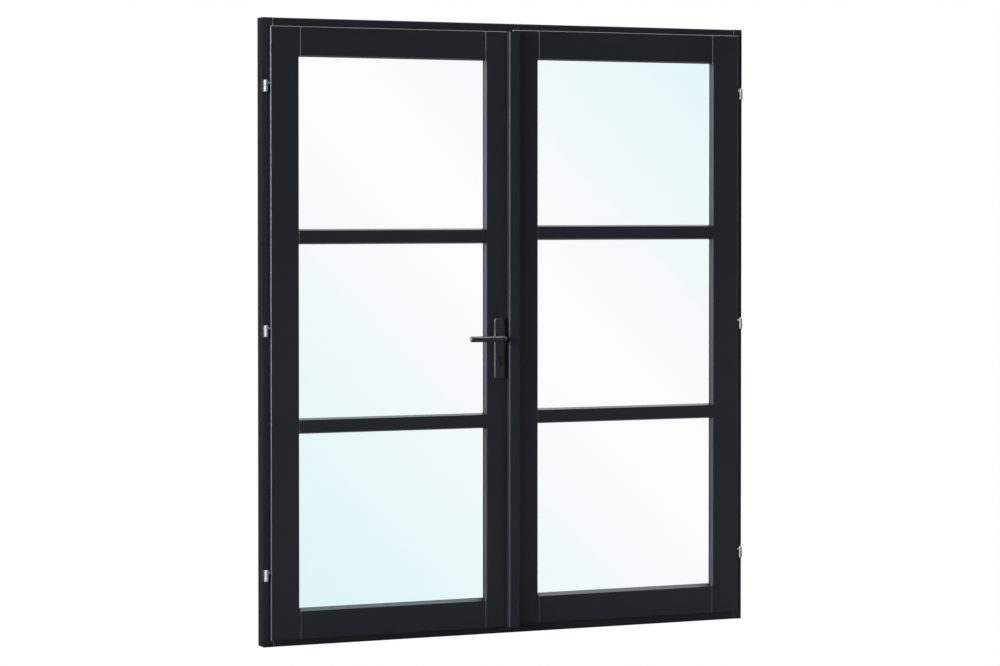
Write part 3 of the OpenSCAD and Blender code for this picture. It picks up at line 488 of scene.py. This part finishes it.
# %% [markdown]
# Each hinge is a lift-off barrel hinge in two halves. The upper knuckle has a stem that screws into the
# leaf, and the lower knuckle has a plate that is let into the side of the jamb. The barrel's two outer ends
# are turned to a small dome, so that no water stands on them, while the ends that meet are left flat. So
# the ring at each outer end is bevelled widely first, and all other rims a little. The plate was fitted
# before the frame got its last coat: the paint covers it, and only the barrel stays bright.

# %% Hinges
DOME = 2.2 * MM
DOME_STEPS = 5
NEAR = 0.05 * MM
PAINTED_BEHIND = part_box("left_jamb")[0][1] - 1 * MM
pins_low, pins_high = (Vector(corner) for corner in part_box("hinge_pins"))
pin_r = (pins_high.y - pins_low.y) / 2
pin_y = pins_low.y + pin_r
PIN_X = {"left": pins_low.x + pin_r, "right": pins_high.x - pin_r}


def ring_at(x, y, radius, level):
    """A test for the edges of one level ring around the upright axis at x, y."""
    def on_ring(edge):
        return all(abs(v.co.z - level) < NEAR and abs(math.hypot(v.co.x - x, v.co.y - y) - radius) < NEAR
                   for v in edge.verts)
    return on_ring


def domed_hinge_half(node, body, side, outer_end):
    """One half of a hinge, with the outer end of its knuckle domed and its other rims softened."""
    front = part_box(node)[0][1]
    piece = clean_copy(node, f"{node}_finished")
    outer_ring = ring_at(PIN_X[side], pin_y, pin_y - front, outer_end)
    ring = round_edges(piece, outer_ring, DOME, DOME_STEPS)
    rims = round_edges(piece, is_corner, RIM, SMALL_ROUND_STEPS)
    smooth_over(piece, SMOOTH_UNDER)
    finish_piece(piece, body, zinc, node)
    print(piece.name, "dome of", ring, "edges,", rims, "rims softened")
    return piece


def paint_over(piece):
    """Carries the frame's paint over a plate, up to the barrel in front of the jamb."""
    piece.data.materials.append(timber_upright)
    for face in piece.data.polygons:
        face.material_index = 1 if face.center.y > PAINTED_BEHIND else 0


for side in ("left", "right"):
    for level in ("low", "mid", "high"):
        plate, arm = f"{side}_{level}_hinge_plate", f"{side}_{level}_hinge_arm"
        paint_over(domed_hinge_half(plate, "frame", side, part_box(plate)[0][2]))
        domed_hinge_half(arm, f"{side}_leaf", side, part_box(arm)[1][2])

screws = clean_copy("hinge_screws", "hinge_screws_finished")
smooth_over(screws, SMOOTH_UNDER)
finish_piece(screws, "frame", timber_upright, "hinge_screws")
print(screws.name, "painted over with the plates")

# %% [markdown]
# The outside plate is pressed over a form, so its rim rolls over into the sides in one soft curve, while
# the holes for the lever, the key and the screws are punched and stay crisp. The rim in the construction
# model is a single flat chamfer. Both of its edges are bevelled, which turns it into that curve. The test
# tells rim edges from hole edges by how near they lie to the plate's outline.

# %% Outside plate
ROLL = 1.1 * MM
ROLL_STEPS = 3
RIM_ZONE = 3.5 * MM
RIM_DEPTH = 2 * MM
LEVEL = 0.01 * MM
HOLE_RIM = 0.25 * MM
plate_low, plate_high = (Vector(corner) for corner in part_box("outside_handle_plate"))


def on_plate_rim(edge):
    """True for an edge of the plate's front rim, between the outline and the rim zone."""
    if len(edge.link_faces) != 2 or edge.calc_face_angle(0.0) < CORNER_ANGLE:
        return False
    middle = (edge.verts[0].co + edge.verts[1].co) / 2
    inset = min(middle.x - plate_low.x, plate_high.x - middle.x,
                middle.z - plate_low.z, plate_high.z - middle.z)
    rim_front = all(v.co.y < plate_low.y + RIM_DEPTH for v in edge.verts)
    level = abs(edge.verts[0].co.y - edge.verts[1].co.y) < LEVEL
    return inset < RIM_ZONE and rim_front and level


outside_plate = clean_copy("outside_handle_plate", "outside_plate_finished")
rolled = round_edges(outside_plate, on_plate_rim, ROLL, ROLL_STEPS)
crisp = round_edges(outside_plate, is_corner, HOLE_RIM, SMALL_ROUND_STEPS)
smooth_over(outside_plate, SMOOTH_UNDER)
finish_piece(outside_plate, "left_leaf", powder_coat, "outside_handle_plate")
print(outside_plate.name, "rolled on", rolled, "rim edges,", crisp, "hole edges softened")

# %% [markdown]
# The outside lever is a round bar of aluminium, bent once and powder coated black. It starts as a disc on
# the plate. The disc is extruded forwards as the neck, spun through a quarter turn as the elbow, and
# extruded sideways as the grip. A spin follows a true arc, which a row of joined cylinders can't. The tip
# gets a narrow chamfer, and the ring where the neck meets the plate is drawn in a little.

# %% Outside lever
ELBOW_R = 14 * MM
ELBOW_STEPS = 16
TIP = 1.5 * MM
NECK_FOOT = 0.5 * MM
SHOULDER = 1.0 * MM
LEVER_SIDES = 48
SEAM = 0.01 * MM
LEVER_ROUND = 0.4 * MM
LEVER_SMOOTH_UNDER = 35
low, high = (Vector(corner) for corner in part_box("outside_lever"))
plate_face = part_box("outside_handle_plate")[0][1]
bar_r = (high.z - low.z) / 2
neck_r = bar_r - SHOULDER
tip_r = bar_r - TIP
lever_z = (high.z + low.z) / 2
neck_x = high.x - bar_r
neck_end = low.y + bar_r + ELBOW_R
elbow_end = neck_x - ELBOW_R


def disc(sides, radius, place, facing):
    """A filled circle facing forwards (1) or backwards (-1), left selected in edit mode."""
    bpy.ops.object.select_all(action="DESELECT")
    bpy.ops.mesh.primitive_circle_add(vertices=sides, radius=radius, fill_type="NGON", location=place,
                                      rotation=(math.radians(90) * facing, 0, 0))
    piece = bpy.context.active_object
    bpy.ops.object.transform_apply(location=True, rotation=True, scale=True)
    bpy.ops.object.mode_set(mode="EDIT")
    bpy.ops.mesh.select_all(action="SELECT")
    return piece


def push(x, y, z):
    """Extrudes the selected end of a bar by a step."""
    bpy.ops.mesh.extrude_region_move(TRANSFORM_OT_translate={"value": (x, y, z)})


lever = disc(LEVER_SIDES, neck_r, (neck_x, plate_face, lever_z), 1)
lever.name = "outside_lever_bent"
push(0, -NECK_FOOT, 0)
push(0, -SHOULDER, 0)
bpy.ops.transform.resize(value=(bar_r / neck_r, 1, bar_r / neck_r))
push(0, neck_end - (plate_face - NECK_FOOT - SHOULDER), 0)
bpy.ops.mesh.spin(steps=ELBOW_STEPS, angle=math.radians(90), center=(elbow_end, neck_end, lever_z),
                  axis=(0, 0, 1))
push(low.x + TIP - elbow_end, 0, 0)
push(-TIP, 0, 0)
bpy.ops.transform.resize(value=(1, tip_r / bar_r, tip_r / bar_r))
bpy.ops.mesh.select_all(action="SELECT")
bpy.ops.mesh.remove_doubles(threshold=SEAM)
bpy.ops.mesh.normals_make_consistent(inside=False)
bpy.ops.object.mode_set(mode="OBJECT")
round_edges(lever, is_corner, LEVER_ROUND, SMALL_ROUND_STEPS)
smooth_over(lever, LEVER_SMOOTH_UNDER)
finish_piece(lever, "lever_set", powder_coat, "outside_lever")
print(lever.name, "spans", [round(v, 4) for v in lever.dimensions], "in", len(lever.data.polygons), "faces")

# %% [markdown]
# The inside knob is turned on a lathe from one bar: a collar against the plate, a waist for the fingers, and
# a drum with a domed face. A lathe turns rings of different radius along one axis. So the model starts as
# a disc inside the plate's hole and is pushed out ring by ring, each ring scaled to its radius. The collar
# stands a hair off the plate, as it must to turn.

# %% Inside knob
KNOB_SIDES = 64
KNOB_SMOOTH_UNDER = 30
NECK_START = -1.0 * MM
KNOB_NECK_R = 8.8 * MM
COLLAR_R = 10.5 * MM
COLLAR_EDGE = 0.5 * MM
WAIST_R = 8.5 * MM
WAIST_AT = 5.5 * MM
DRUM_AT = 15 * MM
DOME_DEPTH = 6 * MM
knob_low, knob_high = (Vector(corner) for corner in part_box("inside_knob"))
inside_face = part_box("inside_handle_plate")[1][1]
knob_x, knob_z = (knob_low.x + knob_high.x) / 2, (knob_low.z + knob_high.z) / 2
reach = knob_high.y - inside_face
drum_r = (knob_high.z - knob_low.z) / 2


def swelling(steps):
    """Rings of the smooth swelling from the waist to the drum, as a half wave."""
    for i in range(steps + 1):
        share = i / steps
        wave = (1 - math.cos(math.pi * share)) / 2
        yield WAIST_AT + (DRUM_AT - WAIST_AT) * share, WAIST_R + (drum_r - WAIST_R) * wave


def domed_face(steps):
    """Rings of the domed face, as a quarter of an ellipse that stops just short of its middle."""
    for i in range(steps):
        angle = math.radians(90) * i / steps
        yield reach - DOME_DEPTH * (1 - math.sin(angle)), drum_r * math.cos(angle)


collar = [(0.3 * MM, KNOB_NECK_R), (0.5 * MM, COLLAR_R - COLLAR_EDGE), (1.0 * MM, COLLAR_R),
          (3.0 * MM, COLLAR_R)]
rings = collar + list(swelling(steps=7)) + list(domed_face(steps=8))
knob = disc(KNOB_SIDES, KNOB_NECK_R, (knob_x, inside_face + NECK_START, knob_z), -1)
knob.name = "inside_knob_turned"
out, ring_r = NECK_START, KNOB_NECK_R
for next_out, next_r in rings:
    push(0, next_out - out, 0)
    bpy.ops.transform.resize(value=(next_r / ring_r, 1, next_r / ring_r))
    out, ring_r = next_out, next_r
bpy.ops.mesh.select_all(action="SELECT")
bpy.ops.mesh.normals_make_consistent(inside=False)
bpy.ops.object.mode_set(mode="OBJECT")
smooth_over(knob, KNOB_SMOOTH_UNDER)
finish_piece(knob, "lever_set", powder_coat, "inside_knob")
print(knob.name, "turned in", len(rings), "rings, reach", round(reach, 4), "radius", round(drum_r, 4))

# %% [markdown]
# The studio is white behind the doors and dark in front of them. The flat faces mirror the dark side, so
# black paint stays black, while slopes and edges that lean back mirror the white side and draw light lines.
# The floor is as white as the backdrop where the camera sees it, and a mid grey where it lights the doors.

# %% Floor
FLOOR_SIZE = 60
bpy.ops.object.select_all(action="DESELECT")
bpy.ops.mesh.primitive_plane_add(size=FLOOR_SIZE, location=(0, 0, 0))
floor = bpy.context.active_object
floor.name = "studio_floor"
floor_paint, floor_tree = new_material("white studio floor")
pale = add_node(floor_tree, "ShaderNodeBsdfDiffuse", {"Color": linear("#727272")})
white = add_node(floor_tree, "ShaderNodeEmission", {"Color": (1, 1, 1, 1), "Strength": 1.0})
seen = add_node(floor_tree, "ShaderNodeLightPath").outputs["Is Camera Ray"]
both = add_node(floor_tree, "ShaderNodeMixShader",
                {"Fac": seen, 1: pale.outputs["BSDF"], 2: white.outputs["Emission"]})
add_node(floor_tree, "ShaderNodeOutputMaterial", {"Surface": both.outputs["Shader"]})
floor.data.materials.append(floor_paint)
print(floor.name, "laid,", FLOOR_SIZE, "m square")

# %% [markdown]
# The surround is one smooth step from dark in front to white behind. It is drawn from the direction of a
# ray, so it needs no backdrop object. Rays that come straight from the camera always see plain white, also
# through the panes, so the doors stand on white from any side.

# %% World: white behind, dark in front
FRONT_LIGHT = 0.06
BACK_LIGHT = 2.2
DARK_BEFORE = -0.15
WHITE_BEYOND = 0.35
world = bpy.data.worlds.new("studio")
bpy.context.scene.world = world
world.use_nodes = True
sky = world.node_tree
sky.nodes.clear()
direction = add_node(sky, "ShaderNodeTexCoord").outputs["Generated"]
depth = add_node(sky, "ShaderNodeSeparateXYZ", {"Vector": direction}).outputs["Y"]
surround = add_node(sky, "ShaderNodeMapRange",
                    {"Value": depth, "From Min": DARK_BEFORE, "From Max": WHITE_BEYOND,
                     "To Min": FRONT_LIGHT, "To Max": BACK_LIGHT}, interpolation_type="SMOOTHSTEP")
seen = add_node(sky, "ShaderNodeLightPath").outputs["Is Camera Ray"]
strength = add_node(sky, "ShaderNodeMix",
                    {0: seen, 2: surround.outputs["Result"], 3: 1.0}, data_type="FLOAT")
backdrop = add_node(sky, "ShaderNodeBackground", {"Color": (1, 1, 1, 1), "Strength": strength.outputs[0]})
add_node(sky, "ShaderNodeOutputWorld", {"Surface": backdrop.outputs["Background"]})
print("surround from", FRONT_LIGHT, "in front to", BACK_LIGHT, "behind")

# %% [markdown]
# Large softboxes stand to the left, front left and overhead, as suns with a wide angle, which light the whole
# height evenly. They draw the light lines along the arrises. Studio cards stand beside the work too:
# black ones keep the side lights off the left jamb and the bright metal, a white one lifts the front of that
# jamb, and a light from behind brightens the reveals beside the glass. Light linking does the cards' work: a
# light gets a collection of the pieces that it may reach, or may not reach.

# %% Side, ceiling and reveal lights


def soft_sun(name, toward, energy, spread):
    """A wide, even light that comes from the direction toward, like a large far softbox."""
    data = bpy.data.lights.new(name, "SUN")
    data.energy = energy
    data.angle = math.radians(spread)
    lamp = bpy.data.objects.new(name, data)
    lamp.rotation_euler = Vector(toward).to_track_quat("Z", "Y").to_euler()
    bpy.context.scene.collection.objects.link(lamp)
    return lamp


left_softbox = soft_sun("left_softbox", toward=(-1.0, -0.06, 0.12), energy=9.0, spread=30)
front_left_softbox = soft_sun("front_left_softbox", toward=(-0.93, -0.36, 0.1), energy=4.0, spread=30)
jamb_card = soft_sun("jamb_card", toward=(0.1, -1.0, 0.15), energy=0.3, spread=40)
reveal_light = soft_sun("reveal_light", toward=(-0.42, 0.9, 0.2), energy=1.2, spread=40)
soft_sun("ceiling_softbox", toward=(0.35, -0.02, 0.93), energy=3.4, spread=40)


def link_light(lamp, pieces, state):
    """Lets a light fall only on the given pieces (INCLUDE), or on all but them (EXCLUDE)."""
    receivers = bpy.data.collections.new(f"receivers_of_{lamp.name}")
    for piece in pieces:
        receivers.objects.link(piece)
    lamp.light_linking.receiver_collection = receivers
    for member in receivers.collection_objects:
        member.light_linking.link_state = state


left_jamb = bpy.data.objects["left_jamb_painted"]
bright_parts = [obj for obj in bpy.data.objects if obj.type == "MESH" and obj.name.endswith("_finished")
                and obj.data.materials[0] in (zinc, ground_steel)]
print(len(bright_parts), "bright parts kept out of the left softbox")
link_light(left_softbox, [left_jamb] + bright_parts, "EXCLUDE")
link_light(front_left_softbox, [left_jamb], "EXCLUDE")
link_light(jamb_card, [left_jamb], "INCLUDE")
link_light(reveal_light, [left_jamb] + bright_parts, "EXCLUDE")
# The Standard view shows the backdrop's full white as white.
bpy.context.scene.view_settings.view_transform = "Standard"
